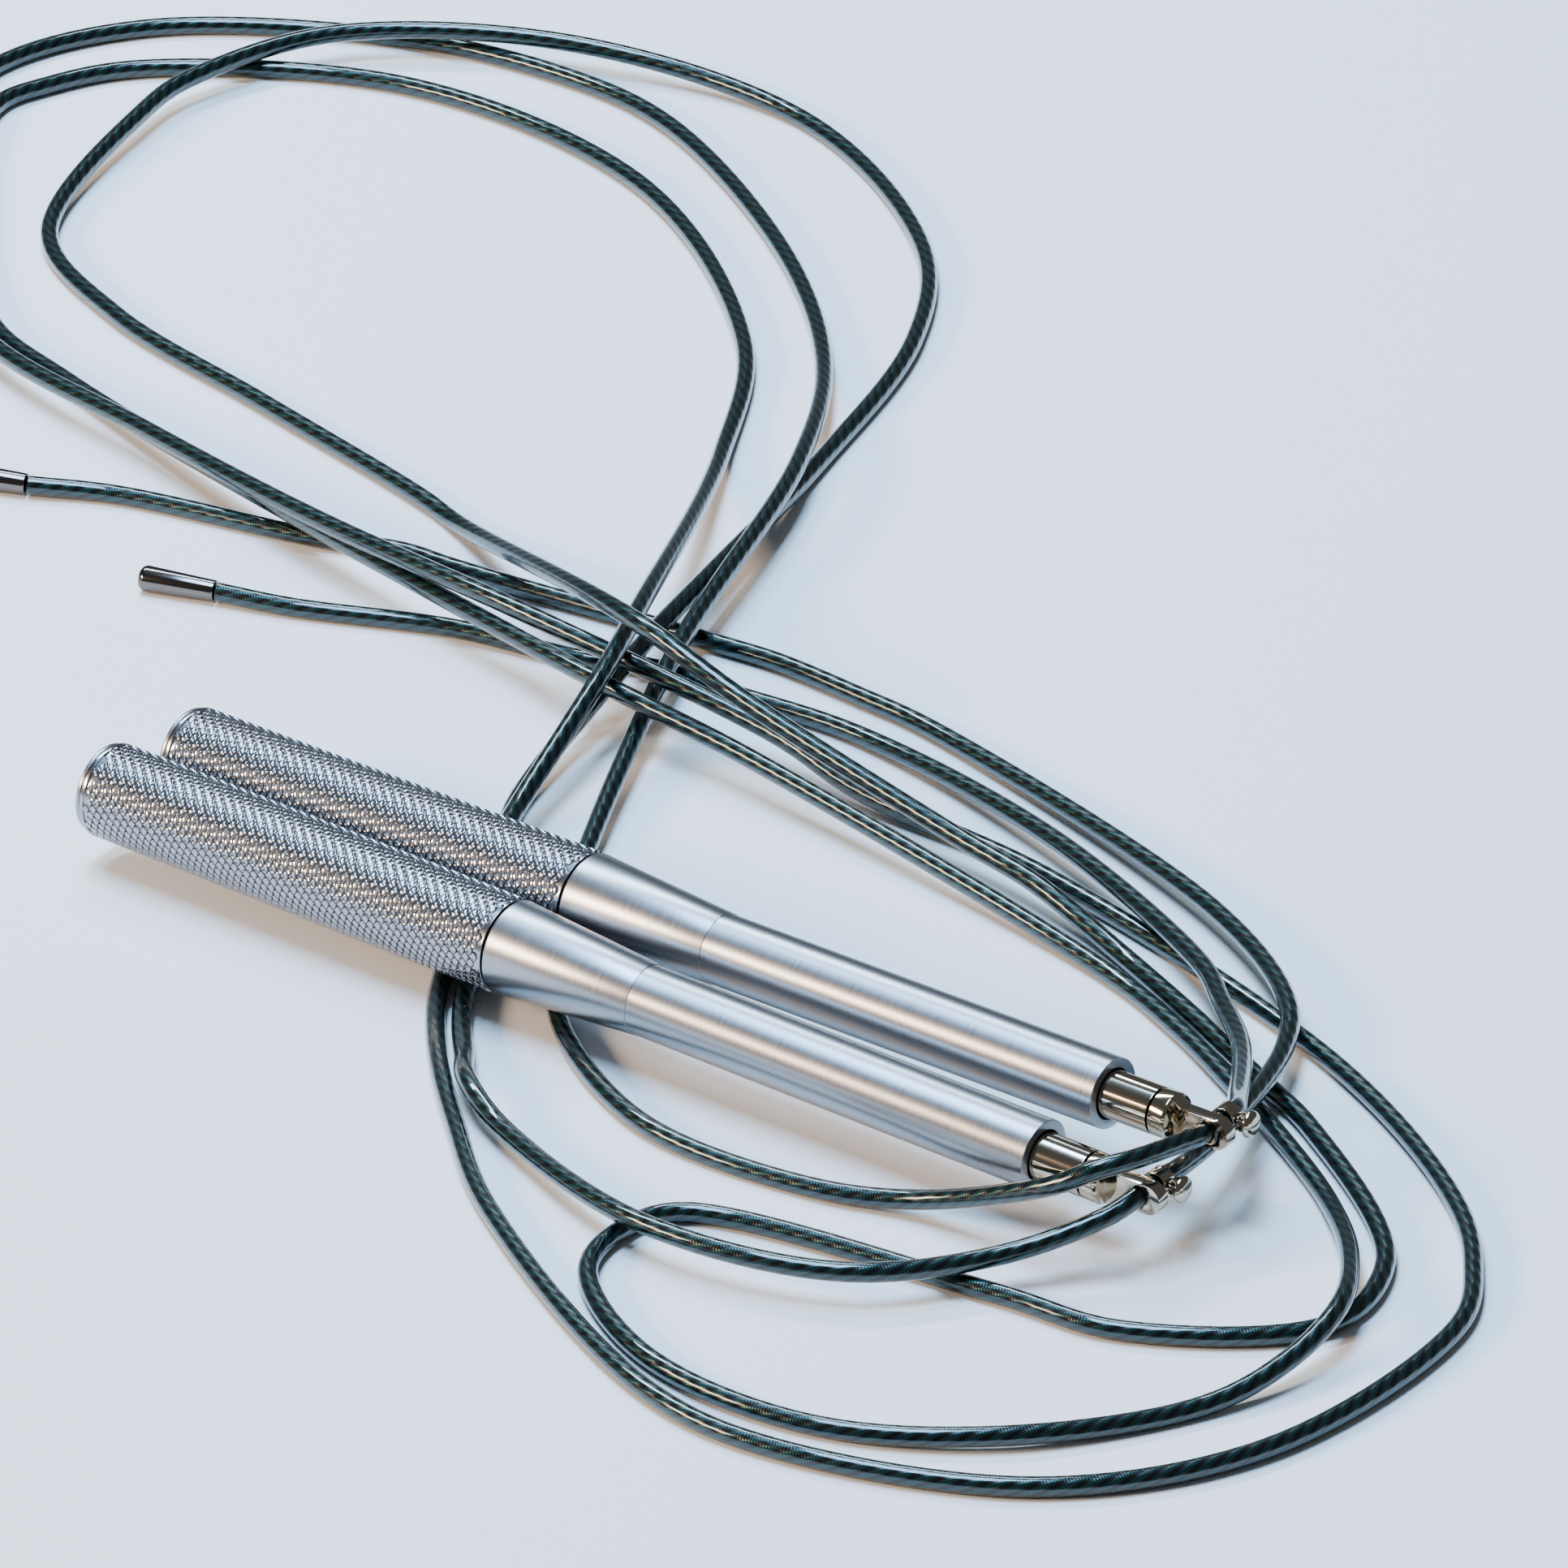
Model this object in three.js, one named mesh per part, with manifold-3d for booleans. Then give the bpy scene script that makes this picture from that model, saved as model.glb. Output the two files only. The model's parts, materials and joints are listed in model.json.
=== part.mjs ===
// A jump rope lying at rest: two slim turned handles side by side on top of one thin coated cable.
// Each handle spins on two small ball bearings round a spindle. The spindle's flat tab has an eye,
// the cable passes through the eye, and a stopper collar with a thumb screw sets the cable's length.
// Millimetres, +Z up. The origin is the middle of the two handles with their fittings, and +X runs
// along the near handle towards its eye. The surface that the cable lies on is at z = -9.9.

import * as THREE from 'three';
import { mergeVertices } from 'three/addons/utils/BufferGeometryUtils.js';
import Module from 'manifold-3d';

const wasm = await Module();
wasm.setup();

// Driving dimensions
const CABLE_RADIUS = 1.4;
const CABLE_SIDES = 8;
const RUNNING_GAP = 0.3;
const TURNED_SIDES = 28;
const SMALL_SIDES = 18;

// The handle, measured along its axis from the barrel's front face, positive towards the eye
const HANDLE_REAR = -162;
const PLUG_HEAD_FRONT = -161.3;
const PLUG_SPIGOT_FRONT = -153;
const GRIP_REAR = -161;
const GRIP_FRONT = -90.1;
const GRIP_RADIUS = 6.8;
const GRIP_BORE = 5.6;
const CONE_REAR = -89.8;
const CONE_FRONT = -66.6;
const CONE_RADIUS = 6.7;
const BARREL_SPIGOT_REAR = -100;
const BARREL_RADIUS = 5;
const BARREL_BORE = 4.15;
const MOUTH_WALL = 1.5;
const MOUTH_RADIUS = 3.65;
const EDGE_BEVEL = 0.2;

// The bearing sleeve in the barrel's mouth and the spindle that turns in it
const SLEEVE_FRONT = 7.8;
const SLEEVE_RADIUS = 3.35;
const SLEEVE_FLANGE_RADIUS = 3.85;
const SLEEVE_FLANGE_WIDTH = 1.2;
const SHAFT_RADIUS = 1.45;
const SHAFT_REAR = -23;
const HEAD_REAR = 8.15;
const HEAD_FRONT = 10.4;
const HEAD_RADIUS = 3.35;
const NOSE_FRONT = 12.6;
const FLATS_REAR = 10.8;
const TAB_THICKNESS = 2;
const TAB_HALF_HEIGHT = 2.15;
const TAB_END_CENTRE = 17.5;
const TAB_BEVEL = 0.15;
const EYE_X = 16;
const EYE_RADIUS = 1.6;

// The ball bearings, their spacer, and what holds them on the shaft
const BEARING_WIDTH = 3;
const FRONT_BEARING_REAR = -6.3;
const REAR_BEARING_REAR = -17.6;
const RING_THICKNESS_INNER = 0.3;
const RING_THICKNESS_OUTER = 0.55;
const RING_OUTSIDE = 3.9;
const RING_BORE = 1.65;
const BALL_RADIUS = 0.5;
const BALL_COUNT = 7;
const BALL_PITCH_RADIUS = 2.65;
const CAGE_WALL = 0.5;
const CAGE_WIDTH = 1;
const SPACER_RADIUS = 2.3;
const WASHER_RADIUS = 3;
const WASHER_THICKNESS = 0.7;
const NUT_HEIGHT = 2.6;
const NUT_ACROSS_FLATS = 5.5;

// The stopper collar on the cable and its thumb screw
const COLLAR_RADIUS = 1.85;
const COLLAR_BORE = 1.6;
const COLLAR_LENGTH = 2.45;
const COLLAR_X = 15.9;
const COLLAR_Y = 3.95;
const SCREW_HOLE_RADIUS = 0.95;
const SCREW_THREAD_RADIUS = 0.65;
const SCREW_NECK_RADIUS = 1;
const SCREW_RING_RADIUS = 1.4;
const SCREW_HEAD_RADIUS = 1.9;
const SCREW_TIP = 1.72;
const SCREW_NECK_START = 2.1;
const SCREW_RING_START = 2.35;
const SCREW_HEAD_START = 3.35;
const SCREW_HEAD_END = 4.65;
const SCREW_TEETH = 16;

// The end caps on the cable's tails
const CAP_LENGTH = 11.7;
const CAP_MOUTH_RADIUS = 1.53;
const CAP_END_RADIUS = 1.93;

// Where the handles lie, and where each cap's mouth is
const NEAR_HANDLE = { place: [70, -8, 0], yaw: 0, pitch: 0, collarYaw: 3 };
const FAR_HANDLE = { place: [71.2, 5.7, 3.5], yaw: -1, pitch: 1.7, collarYaw: 5 };
const CAP_A = { place: [-125.4, 56.1, -8], yaw: -163 };
const CAP_B = { place: [-167.8, 64.3, -8], yaw: -160 };

// The cable's main run, from the far collar to the near collar, through both eyes
const MAIN_ROUTE = [
  // out of the far eye, over the near handle's neck, and down in front of it
  [87.16, 9.22, 3.97], [87.22, 7.02, 3.97], [87.16, 3.82, 3.97], [86.7, 0.5, 4.3],
  [85.5, -8.5, 5.5], [82.5, -13.5, 5], [77.5, -16, 2], [56.5, -18, -7],
  [42, -22, -8.5], [15.5, -23, -8.5],
  // under both handles and round the first loop, past the far left end
  [-9, -10.5, -8.5], [-21, 3, -8.5], [-30.5, 17.5, -8.5], [-58.5, 77, -5],
  [-79, 132.5, -4.5], [-100.5, 166.5, -8], [-128.5, 192, -8.5], [-167, 213.5, -8.5],
  [-188, 216.5, -8.5], [-216, 211.5, -8.5], [-250.5, 189.5, -8.5], [-260, 162.5, -8.5],
  [-236.5, 123.5, -8.5], [-201, 93, -6], [-160, 82, -4], [-120, 72.5, -1.5],
  [-77, 66, 0.5], [-33, 67.5, -5], [-17, 65.5, -7.5], [17, 63.5, -8.5],
  // the outermost loop, at the right and along the front
  [78.5, 46.5, -8.5], [111.5, 27.5, -8.5], [123, 15.5, -8.5], [130.5, 1, -8.5],
  [128, -38, -8.5], [110.5, -63, -8.5], [77.5, -76.5, -8.5], [56.5, -75.5, -8.5],
  [11.5, -52.5, -8.5], [-6.5, -37.5, -8.5], [-19, -25.5, -8.5],
  // under the handles again, then the inner loop at the left
  [-28, -14.5, -8.5], [-34.5, -3.5, -8.5], [-42.5, 13.5, -8.5], [-44.6, 18, -7.4],
  [-47, 24.5, -5.3], [-48.9, 29.5, -5],
  [-56, 57, 1], [-64, 76.5, 1.5], [-93.5, 133, -8], [-113.5, 164, -8.5],
  [-159, 195.5, -8.5], [-206, 199, -8.5], [-241.5, 179, -8.5], [-249.5, 165.5, -8.5],
  [-251, 154.5, -8.5], [-207.5, 102, -8.5], [-182.5, 92, -8], [-60.5, 60.5, -2],
  [-30.5, 58.5, -4], [39.5, 47.5, -8.5], [56.5, 41, -8.5], [72, 33, -8.5],
  // the middle loop at the right, then the small one inside it
  [85.5, 25.5, -8.5], [98.5, 17, -8.5], [110.5, 5, -6.5], [119, -9.5, -4.5],
  [119.5, -21, -6.5], [115.5, -34.5, -8.5], [99.5, -57, -8], [78, -69, -8.5],
  [51.5, -69, -8.5], [31, -56, -8.5], [29, -43.5, -8.5], [33, -37, -8.5],
  [78, -28.5, -8.5], [96, -26, -8.5], [116.5, -9, -8.5], [113.5, 9, -8.5],
  [85.5, 31, -8.5], [73, 37, -8.5], [56, 45, -8.5], [38.5, 52.5, -8.5],
  // over everything at the middle, and round the top loop
  [20, 57.5, -6], [4.5, 60, -5], [-34, 63, 1.5], [-55.5, 65, 6.5],
  [-112, 94, -8.5], [-120.4, 96.8, -8.5], [-157.5, 105.5, -8.5], [-192, 113.5, -8.5],
  [-217.5, 128, -8.5], [-229.5, 164, -6.5], [-230.5, 177, -6], [-221.5, 200.5, -5],
  [-191.5, 221, -5.5], [-152.5, 227.5, -8.5], [-111.5, 205, -8.5], [-93.5, 179.5, -8.5],
  [-80.5, 137.5, -8.5], [-62.5, 73, -4.5], [-52, 31.5, -8.5],
  [-46.5, 25.3, -8.5], [-41, 18.8, -8.5],
  // under the handles for the last time, then forwards and up into the near eye
  [-38.4, 13.6, -8.5], [-31.3, -1.9, -8.5], [-28.2, -7.3, -8.5], [-25.1, -12.3, -8.5],
  [-21, -17.8, -8.5], [-15.9, -23.6, -8], [-9, -31.5, -5.9], [1.5, -37, -7], [35, -47.5, -5], [62, -41, -5],
  [76, -24.5, -5], [84.8, -13, -1.2], [86, -9.6, 0], [86, -6.4, 0], [85.9, -4.2, 0],
];

// The tail from the far collar to cap A
const TAIL_A_ROUTE = [
  [87.16, 9.52, 3.97], [87.1, 11.2, 3.97], [83.5, 17, 2], [71, 35, -2.5],
  [60, 45.5, -4.5], [51.5, 52.5, -5], [13, 70, -6.5], [-28, 79.5, -8.5],
  [-49.5, 78, -8.5], [-63, 77, -8.5], [-72, 73, -8.5], [-92, 69, -8.5],
  [-114.5, 59.7, -8.5], [-125.1, 56.2, -8.1],
];

// The tail from the near collar to cap B
const TAIL_B_ROUTE = [
  [85.9, -3.9, 0], [85.8, -2.2, 0], [85.5, 1, -0.5], [82.5, 15, -2.5],
  [73.5, 41.5, -5.5], [66.5, 52, -5.5], [43, 67.5, -6.5], [-20, 87, -8.5],
  [-34.5, 88.5, -8.5], [-49.3, 89.3, -8.5], [-58, 88.5, -8.5], [-103.5, 83, -8.5],
  [-112, 82.5, -8.5], [-124.5, 78, -8.5], [-156, 70.5, -8.5], [-167.5, 64.4, -8.1],
];

// Colours and finishes
const FINISHES = {
  aluminium: { color: 0xb9b3ab, roughness: 0.3, metalness: 1 },
  nickel: { color: 0xc9bfae, roughness: 0.18, metalness: 1 },
  steel: { color: 0x9a9a9c, roughness: 0.35, metalness: 1 },
  gunmetal: { color: 0x5c5550, roughness: 0.2, metalness: 1 },
  cable_coat: { color: 0x16302e, roughness: 0.25, metalness: 0 },
};

const degrees = THREE.MathUtils.degToRad;

/** A named mesh with its own material. */
function piece(name, geometry, finish) {
  const mesh = new THREE.Mesh(geometry, new THREE.MeshStandardMaterial(FINISHES[finish]));
  mesh.name = name;
  return mesh;
}

/** A turned solid about +X. The outline is a list of [place along the axis, radius]. */
function turned(outline, sides = TURNED_SIDES) {
  const points = outline.map(([along, radius]) => new THREE.Vector2(radius, along));
  const geometry = new THREE.LatheGeometry(points, sides);
  geometry.rotateZ(-Math.PI / 2);
  return geometry;
}

/** A plain ring about +X. */
function ring(rear, front, bore, outside, sides = SMALL_SIDES) {
  return turned([[rear, bore], [rear, outside], [front, outside], [front, bore], [rear, bore]], sides);
}

/** A flat outline pushed from z = 0 to z = height. */
function pushed(shape, height, holes = []) {
  shape.holes.push(...holes);
  return new THREE.ExtrudeGeometry(shape, { depth: height, bevelEnabled: false });
}

/** A solid for cutting and joining, from a closed geometry. */
function solid(geometry) {
  const bare = geometry.clone();
  bare.deleteAttribute('normal');
  bare.deleteAttribute('uv');
  const merged = mergeVertices(bare, 1e-4);
  const vertProperties = new Float32Array(merged.attributes.position.array);
  const triVerts = new Uint32Array(merged.index.array);
  return new wasm.Manifold(new wasm.Mesh({ numProp: 3, vertProperties, triVerts }));
}

/** The geometry of a cut or joined solid. */
function surface(body) {
  const mesh = body.getMesh();
  const geometry = new THREE.BufferGeometry();
  const places = new Float32Array(mesh.vertProperties);
  geometry.setAttribute('position', new THREE.BufferAttribute(places, 3));
  geometry.setIndex(new THREE.BufferAttribute(new Uint32Array(mesh.triVerts), 1));
  geometry.computeVertexNormals();
  return geometry;
}

/** The knurled grip: a plain tube of the knurl's outer diameter. */
function gripTube() {
  const edge = GRIP_RADIUS - RUNNING_GAP;
  const front = GRIP_FRONT - RUNNING_GAP;
  return turned([
    [GRIP_REAR, GRIP_BORE], [GRIP_REAR, edge], [GRIP_REAR + RUNNING_GAP, GRIP_RADIUS],
    [front - RUNNING_GAP, GRIP_RADIUS], [front, edge], [front, GRIP_BORE], [GRIP_REAR, GRIP_BORE],
  ]);
}

/** The barrel: a spigot inside the grip, the smooth cone, and the straight front tube. */
function barrel() {
  const spigot = GRIP_BORE - RUNNING_GAP;
  return turned([
    [BARREL_SPIGOT_REAR, BARREL_BORE], [BARREL_SPIGOT_REAR, spigot], [GRIP_FRONT, spigot],
    [GRIP_FRONT, CONE_RADIUS - RUNNING_GAP], [CONE_REAR, CONE_RADIUS],
    [CONE_FRONT, BARREL_RADIUS + 0.1], [CONE_FRONT, BARREL_RADIUS],
    [-EDGE_BEVEL, BARREL_RADIUS], [0, BARREL_RADIUS - EDGE_BEVEL], [0, MOUTH_RADIUS],
    [-MOUTH_WALL, MOUTH_RADIUS], [-MOUTH_WALL, BARREL_BORE], [BARREL_SPIGOT_REAR, BARREL_BORE],
  ]);
}

/** The rear plug: a flat head and a spigot inside the grip. */
function endPlug() {
  const head = GRIP_RADIUS - RUNNING_GAP;
  const spigot = GRIP_BORE - RUNNING_GAP;
  return turned([
    [HANDLE_REAR, 0], [HANDLE_REAR, head - EDGE_BEVEL], [HANDLE_REAR + EDGE_BEVEL, head],
    [PLUG_HEAD_FRONT, head], [PLUG_HEAD_FRONT, spigot], [PLUG_SPIGOT_FRONT, spigot],
    [PLUG_SPIGOT_FRONT, 0],
  ]);
}

/** The flanged sleeve that stands out of the barrel's mouth. */
function sleeve() {
  const flangeFront = -MOUTH_WALL - RUNNING_GAP;
  const flangeRear = flangeFront - SLEEVE_FLANGE_WIDTH;
  const bore = SHAFT_RADIUS + RUNNING_GAP;
  return turned([
    [flangeRear, bore], [flangeRear, SLEEVE_FLANGE_RADIUS], [flangeFront, SLEEVE_FLANGE_RADIUS],
    [flangeFront, SLEEVE_RADIUS], [SLEEVE_FRONT - EDGE_BEVEL, SLEEVE_RADIUS],
    [SLEEVE_FRONT, SLEEVE_RADIUS - EDGE_BEVEL], [SLEEVE_FRONT, bore], [flangeRear, bore],
  ]);
}

/** A bearing's cage with its balls in it, as one solid. */
function ballCage(middle) {
  const inside = BALL_PITCH_RADIUS - CAGE_WALL / 2;
  const outside = BALL_PITCH_RADIUS + CAGE_WALL / 2;
  let body = solid(ring(middle - CAGE_WIDTH / 2, middle + CAGE_WIDTH / 2, inside, outside));
  for (let i = 0; i < BALL_COUNT; i++) {
    const angle = (i / BALL_COUNT) * Math.PI * 2;
    const ball = new THREE.SphereGeometry(BALL_RADIUS, 6, 4);
    ball.translate(middle, BALL_PITCH_RADIUS * Math.cos(angle), BALL_PITCH_RADIUS * Math.sin(angle));
    body = body.add(solid(ball));
  }
  return surface(body);
}

/** The spindle: shaft, round head, cone, and a flat tab with the eye through it. */
function spindle() {
  let body = solid(turned([
    [SHAFT_REAR, 0], [SHAFT_REAR, SHAFT_RADIUS - RUNNING_GAP],
    [SHAFT_REAR + RUNNING_GAP, SHAFT_RADIUS], [HEAD_REAR, SHAFT_RADIUS],
    [HEAD_REAR, HEAD_RADIUS - EDGE_BEVEL], [HEAD_REAR + EDGE_BEVEL, HEAD_RADIUS],
    [HEAD_FRONT, HEAD_RADIUS], [NOSE_FRONT, TAB_HALF_HEIGHT],
    [NOSE_FRONT + RUNNING_GAP, TAB_HALF_HEIGHT], [NOSE_FRONT + RUNNING_GAP, 0],
  ]));
  const cutLength = NOSE_FRONT - FLATS_REAR + 2;
  for (const side of [-1, 1]) {
    const cutter = new THREE.BoxGeometry(cutLength, HEAD_RADIUS, HEAD_RADIUS * 3);
    const middle = side * (TAB_THICKNESS / 2 + HEAD_RADIUS / 2);
    cutter.translate(FLATS_REAR + cutLength / 2, middle, 0);
    body = body.subtract(solid(cutter));
  }
  const outline = new THREE.Shape();
  const half = TAB_HALF_HEIGHT - TAB_BEVEL;
  outline.moveTo(NOSE_FRONT - 1, -half);
  outline.lineTo(TAB_END_CENTRE, -half);
  outline.absarc(TAB_END_CENTRE, 0, half, -Math.PI / 2, Math.PI / 2, false);
  outline.lineTo(NOSE_FRONT - 1, half);
  const tab = new THREE.ExtrudeGeometry(outline, {
    depth: TAB_THICKNESS - 2 * TAB_BEVEL, curveSegments: 16, bevelEnabled: true,
    bevelThickness: TAB_BEVEL, bevelSize: TAB_BEVEL, bevelSegments: 1,
  });
  tab.translate(0, 0, TAB_BEVEL - TAB_THICKNESS / 2);
  tab.rotateX(Math.PI / 2);
  const eye = new THREE.CylinderGeometry(EYE_RADIUS, EYE_RADIUS, TAB_THICKNESS * 2, SMALL_SIDES);
  eye.translate(EYE_X, 0, 0);
  return surface(body.add(solid(tab)).subtract(solid(eye)));
}

/** The hexagonal lock nut behind the rear bearing. */
function lockNut(front) {
  const corner = NUT_ACROSS_FLATS / Math.sqrt(3);
  const outline = new THREE.Shape();
  for (let i = 0; i < 6; i++) {
    const angle = (i / 6) * Math.PI * 2;
    outline[i ? 'lineTo' : 'moveTo'](corner * Math.cos(angle), corner * Math.sin(angle));
  }
  const bore = new THREE.Path();
  bore.absarc(0, 0, SHAFT_RADIUS + RUNNING_GAP, 0, Math.PI * 2, true);
  const geometry = pushed(outline, NUT_HEIGHT, [bore]);
  geometry.rotateY(Math.PI / 2);
  geometry.translate(front - NUT_HEIGHT, 0, 0);
  return geometry;
}

/** The stopper collar about +Y, with a cross hole for its screw on the +X side. */
function stopperCollar() {
  const half = COLLAR_LENGTH / 2;
  const tube = turned([
    [-half, COLLAR_BORE], [-half, COLLAR_RADIUS], [half, COLLAR_RADIUS],
    [half, COLLAR_BORE], [-half, COLLAR_BORE],
  ], SMALL_SIDES);
  tube.rotateZ(Math.PI / 2);
  const hole = new THREE.CylinderGeometry(SCREW_HOLE_RADIUS, SCREW_HOLE_RADIUS, COLLAR_RADIUS * 2, 16);
  hole.rotateZ(Math.PI / 2);
  hole.translate(COLLAR_RADIUS, 0, 0);
  return surface(solid(tube).subtract(solid(hole)));
}

/** The thumb screw along +X: thread, neck, knurled ring and domed head. */
function thumbScrew() {
  const rise = SCREW_HEAD_END - SCREW_HEAD_START - RUNNING_GAP;
  const outline = [
    [SCREW_TIP, 0], [SCREW_TIP, SCREW_THREAD_RADIUS], [SCREW_NECK_START, SCREW_THREAD_RADIUS],
    [SCREW_NECK_START, SCREW_NECK_RADIUS], [SCREW_HEAD_START, SCREW_NECK_RADIUS],
    [SCREW_HEAD_START, SCREW_HEAD_RADIUS - EDGE_BEVEL],
  ];
  for (let i = 0; i <= 5; i++) {
    const angle = (i / 6) * Math.PI / 2;
    const along = SCREW_HEAD_START + RUNNING_GAP + rise * Math.sin(angle);
    outline.push([along, SCREW_HEAD_RADIUS * Math.cos(angle)]);
  }
  outline.push([SCREW_HEAD_END, 0]);
  const teeth = new THREE.Shape();
  for (let i = 0; i < SCREW_TEETH * 2; i++) {
    const angle = (i / SCREW_TEETH) * Math.PI;
    const radius = SCREW_RING_RADIUS - (i % 2) * EDGE_BEVEL;
    teeth[i ? 'lineTo' : 'moveTo'](radius * Math.cos(angle), radius * Math.sin(angle));
  }
  const knurl = pushed(teeth, SCREW_HEAD_START - SCREW_RING_START + EDGE_BEVEL / 2);
  knurl.rotateY(Math.PI / 2);
  knurl.translate(SCREW_RING_START, 0, 0);
  return surface(solid(turned(outline, SMALL_SIDES)).add(solid(knurl)));
}

/** The closed metal cap on the end of a tail, with its mouth at the origin and its end at +X. */
function tailCap() {
  const round = CAP_END_RADIUS * 0.6;
  const start = CAP_LENGTH - round;
  const outline = [[0, 0], [0, CAP_MOUTH_RADIUS - EDGE_BEVEL], [EDGE_BEVEL, CAP_MOUTH_RADIUS]];
  for (let i = 0; i <= 5; i++) {
    const angle = (i / 5) * Math.PI / 2;
    const radius = CAP_END_RADIUS - round * (1 - Math.cos(angle));
    outline.push([start + round * Math.sin(angle), radius]);
  }
  outline.push([CAP_LENGTH, 0]);
  return turned(outline, SMALL_SIDES);
}

/** A curve whose even steps fall on its own points, so that a tube bends where the route says. */
class RouteCurve extends THREE.CatmullRomCurve3 {
  getUtoTmapping(u) {
    return u;
  }
}

/** A length of cable: a round section pushed along a route. */
function cable(route) {
  const curve = new RouteCurve(route.map((place) => new THREE.Vector3(...place)));
  const section = new THREE.Shape();
  for (let i = 0; i < CABLE_SIDES; i++) {
    const angle = ((i + 0.5) / CABLE_SIDES) * Math.PI * 2;
    const place = [CABLE_RADIUS * Math.cos(angle), CABLE_RADIUS * Math.sin(angle)];
    section[i ? 'lineTo' : 'moveTo'](...place);
  }
  return new THREE.ExtrudeGeometry(section, {
    steps: route.length - 1, extrudePath: curve, bevelEnabled: false,
  });
}

/** One bearing: outer ring, inner ring, and cage with balls. */
function bearing(name, rear) {
  const front = rear + BEARING_WIDTH;
  const outerBore = RING_OUTSIDE - RING_THICKNESS_OUTER;
  const innerOutside = RING_BORE + RING_THICKNESS_INNER;
  return [
    piece(`${name}_outer_ring`, ring(rear, front, outerBore, RING_OUTSIDE), 'steel'),
    piece(`${name}_inner_ring`, ring(rear, front, RING_BORE, innerOutside), 'steel'),
    piece(`${name}_ball_cage`, ballCage((rear + front) / 2), 'steel'),
  ];
}

/** One handle with everything that turns in it or sits at its eye. */
function handle(name, { place, yaw, pitch, collarYaw }) {
  const group = new THREE.Group();
  group.position.set(...place);
  group.rotation.set(0, -degrees(pitch), degrees(yaw), 'ZYX');
  const shaftBore = SHAFT_RADIUS + RUNNING_GAP;
  const spacerRear = REAR_BEARING_REAR + BEARING_WIDTH + RUNNING_GAP;
  const spacerFront = FRONT_BEARING_REAR - RUNNING_GAP;
  const washerFront = REAR_BEARING_REAR - RUNNING_GAP;
  const washerRear = washerFront - WASHER_THICKNESS;
  group.add(
    piece(`${name}_grip`, gripTube(), 'aluminium'),
    piece(`${name}_barrel`, barrel(), 'aluminium'),
    piece(`${name}_end_plug`, endPlug(), 'aluminium'),
    piece(`${name}_sleeve`, sleeve(), 'nickel'),
    ...bearing(`${name}_front_bearing`, FRONT_BEARING_REAR),
    ...bearing(`${name}_rear_bearing`, REAR_BEARING_REAR),
    piece(`${name}_spacer`, ring(spacerRear, spacerFront, shaftBore, SPACER_RADIUS), 'steel'),
    piece(`${name}_washer`, ring(washerRear, washerFront, shaftBore, WASHER_RADIUS), 'steel'),
    piece(`${name}_lock_nut`, lockNut(washerRear - RUNNING_GAP), 'steel'),
    piece(`${name}_spindle`, spindle(), 'nickel'),
  );
  const stop = new THREE.Group();
  stop.position.set(COLLAR_X, COLLAR_Y, 0);
  stop.rotation.z = degrees(collarYaw);
  stop.add(
    piece(`${name}_stopper_collar`, stopperCollar(), 'nickel'),
    piece(`${name}_thumb_screw`, thumbScrew(), 'nickel'),
  );
  group.add(stop);
  return group;
}

/** An end cap where its tail ends. */
function placedCap(name, { place, yaw }) {
  const cap = piece(name, tailCap(), 'gunmetal');
  cap.position.set(...place);
  cap.rotation.z = degrees(yaw);
  return cap;
}

const jumpRope = new THREE.Group();
jumpRope.add(
  handle('near', NEAR_HANDLE),
  handle('far', FAR_HANDLE),
  piece('cable_main', cable(MAIN_ROUTE), 'cable_coat'),
  piece('cable_tail_a', cable(TAIL_A_ROUTE), 'cable_coat'),
  piece('cable_tail_b', cable(TAIL_B_ROUTE), 'cable_coat'),
  placedCap('tail_cap_a', CAP_A),
  placedCap('tail_cap_b', CAP_B),
);

export default jumpRope;
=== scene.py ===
# %% [markdown]
# # A jump rope with two turned handles
# The real object is a thin coated steel cable, laid in loose loops, with two slim aluminium
# handles on top of it. Each handle spins on ball bearings round a spindle, and a stopper collar
# with a thumb screw sets the cable's length. The exact solids come from CAD. This lesson gives
# them their finish: knurling, fine turning marks, polished fittings, and the strands under the
# cable's coat.

import json
import math

import bmesh
import bpy
from mathutils import Matrix, Vector


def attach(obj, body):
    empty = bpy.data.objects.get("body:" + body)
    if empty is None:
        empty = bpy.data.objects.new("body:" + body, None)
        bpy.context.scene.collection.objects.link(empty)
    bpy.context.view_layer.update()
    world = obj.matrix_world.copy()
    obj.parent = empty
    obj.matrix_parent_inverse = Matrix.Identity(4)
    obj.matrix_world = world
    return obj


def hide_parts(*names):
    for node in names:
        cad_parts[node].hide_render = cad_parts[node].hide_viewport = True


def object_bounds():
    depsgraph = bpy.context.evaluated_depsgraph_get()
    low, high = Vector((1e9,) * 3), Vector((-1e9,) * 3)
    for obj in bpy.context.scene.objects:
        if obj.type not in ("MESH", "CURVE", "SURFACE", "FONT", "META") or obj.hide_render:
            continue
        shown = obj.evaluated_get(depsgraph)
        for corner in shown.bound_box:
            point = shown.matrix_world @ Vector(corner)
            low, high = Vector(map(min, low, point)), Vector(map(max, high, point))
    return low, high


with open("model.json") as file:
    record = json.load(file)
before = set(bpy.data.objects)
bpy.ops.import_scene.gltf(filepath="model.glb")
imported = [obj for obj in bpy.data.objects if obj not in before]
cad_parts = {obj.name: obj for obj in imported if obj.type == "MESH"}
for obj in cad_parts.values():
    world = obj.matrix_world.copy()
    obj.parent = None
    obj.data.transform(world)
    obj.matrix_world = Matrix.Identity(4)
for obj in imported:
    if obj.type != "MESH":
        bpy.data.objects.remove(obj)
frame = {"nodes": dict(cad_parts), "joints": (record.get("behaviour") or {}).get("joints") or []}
bounds_at_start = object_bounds()
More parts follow.
